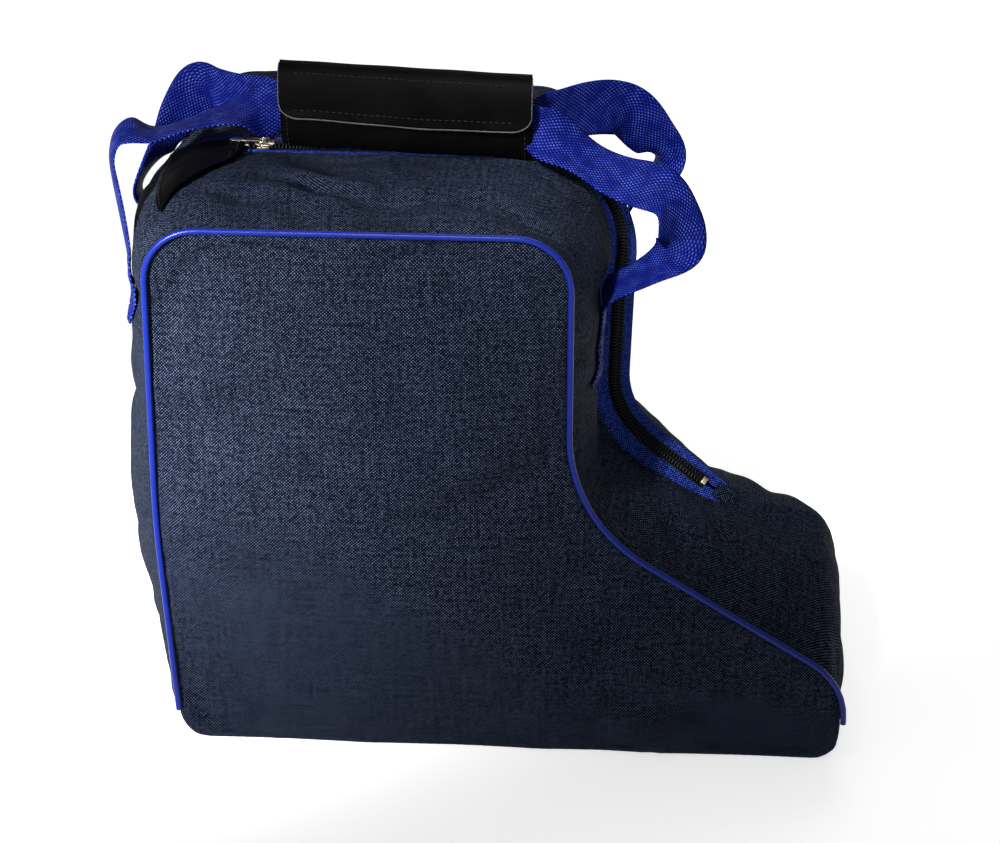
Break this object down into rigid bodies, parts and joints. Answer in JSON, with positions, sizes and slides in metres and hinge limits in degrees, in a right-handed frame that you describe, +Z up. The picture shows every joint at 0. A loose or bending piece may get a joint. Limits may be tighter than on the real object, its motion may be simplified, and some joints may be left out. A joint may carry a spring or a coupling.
{
  "type": "ski boot bag",
  "caption": "Boot-shaped fabric carry bag for ski boots, with piped side panels, a zip along the gusset and webbing handles joined by a wrap-over grip.",
  "frame": {"origin": "centre of the flat base, on the surface it stands on", "axes": "+X towards the toe, +Z up, -Y towards the near side panel, the side the grip flap opens on"},
  "size_m": [0.4517, 0.2444, 0.3988],
  "materials": {
    "navy_fabric": "coarse matte polyester weave",
    "blue_piping": "smooth glossy vinyl",
    "blue_zip_tape": "fine woven tape",
    "blue_webbing": "shiny woven webbing",
    "black_zip_teeth": "moulded coil",
    "zip_metal": "cast and plated",
    "black_vinyl": "fine grained, semi-gloss",
    "hook_and_loop": "fuzzy",
    "black_binding": "ribbed tape",
    "base_board": "plain sheet"
  },
  "bodies": {
    "bag": {"back_gusset": "navy_fabric", "base_board": "base_board", "bottom_panel": "navy_fabric", "far_back_handle_anchor": "blue_webbing", "far_front_gusset": "navy_fabric", "far_front_handle_anchor": "blue_webbing", "far_handle_back": "blue_webbing", "far_handle_front": "blue_webbing", "far_piping": "blue_piping", "far_seam_binding": "black_binding", "far_side_panel": "navy_fabric", "far_zip_tape_back": "blue_zip_tape", "far_zip_tape_front": "blue_zip_tape", "far_zip_teeth_back": "black_zip_teeth", "far_zip_teeth_front": "black_zip_teeth", "near_back_handle_anchor": "blue_webbing", "near_front_gusset": "navy_fabric", "near_front_handle_anchor": "blue_webbing", "near_handle_back": "blue_webbing", "near_handle_front": "blue_webbing", "near_piping": "blue_piping", "near_seam_binding": "black_binding", "near_side_panel": "navy_fabric", "near_zip_tape_back": "blue_zip_tape", "near_zip_tape_front": "blue_zip_tape", "near_zip_teeth_back": "black_zip_teeth", "near_zip_teeth_front": "black_zip_teeth", "toe_gusset": "navy_fabric", "zip_back_stop": "zip_metal", "zip_end_cover": "black_vinyl", "zip_end_tab": "navy_fabric", "zip_front_stop": "zip_metal"},
    "near_mouth": {"near_mouth_panel": "navy_fabric", "near_zip_tape_top": "blue_zip_tape", "near_zip_teeth_top": "black_zip_teeth"},
    "far_mouth": {"far_mouth_panel": "navy_fabric", "far_zip_tape_top": "blue_zip_tape", "far_zip_teeth_top": "black_zip_teeth"},
    "zip_slider": {"zip_slider": "zip_metal"},
    "zip_pull": {"zip_pull": "zip_metal"},
    "grip": {"grip_wrap": "black_vinyl", "loop_strip": "hook_and_loop", "near_handle_grip": "blue_webbing", "far_handle_grip": "blue_webbing"},
    "grip_flap": {"grip_flap": "black_vinyl", "hook_strip": "hook_and_loop"}
  },
  "joints": [
    {"name": "near_mouth_fold", "type": "hinge", "parent": "bag", "child": "near_mouth", "pos_m": [-0.0625, -0.1174, 0.333], "axis": [-1, 0, 0], "range_deg": [0, 75]},
    {"name": "far_mouth_fold", "type": "hinge", "parent": "bag", "child": "far_mouth", "pos_m": [-0.0625, 0.1174, 0.333], "axis": [1, 0, 0], "range_deg": [0, 75]},
    {"name": "zip_slide", "type": "slide", "parent": "bag", "child": "zip_slider", "axis": [1, 0, 0], "range_m": [0, 0.165]},
    {"name": "zip_pull_swing", "type": "hinge", "parent": "zip_slider", "child": "zip_pull", "pos_m": [-0.145, 0, 0.3439], "axis": [0, 1, 0], "range_deg": [0, 100]},
    {"name": "handle_lift", "type": "slide", "parent": "bag", "child": "grip", "axis": [0, 0, 1], "range_m": [0, 0.09], "deforming": ["near_handle_back", "far_handle_back", "near_handle_front", "far_handle_front"]},
    {"name": "grip_flap_open", "type": "hinge", "parent": "grip", "child": "grip_flap", "pos_m": [-0.0585, -0.015, 0.3968], "axis": [-1, 0, 0], "range_deg": [0, 150]}
  ],
  "couplings": [
    {"joint": "far_mouth_fold", "follows": "near_mouth_fold", "ratio": 1},
    {"joint": "zip_slide", "follows": "near_mouth_fold", "m_per_rad": 0.126}
  ]
}
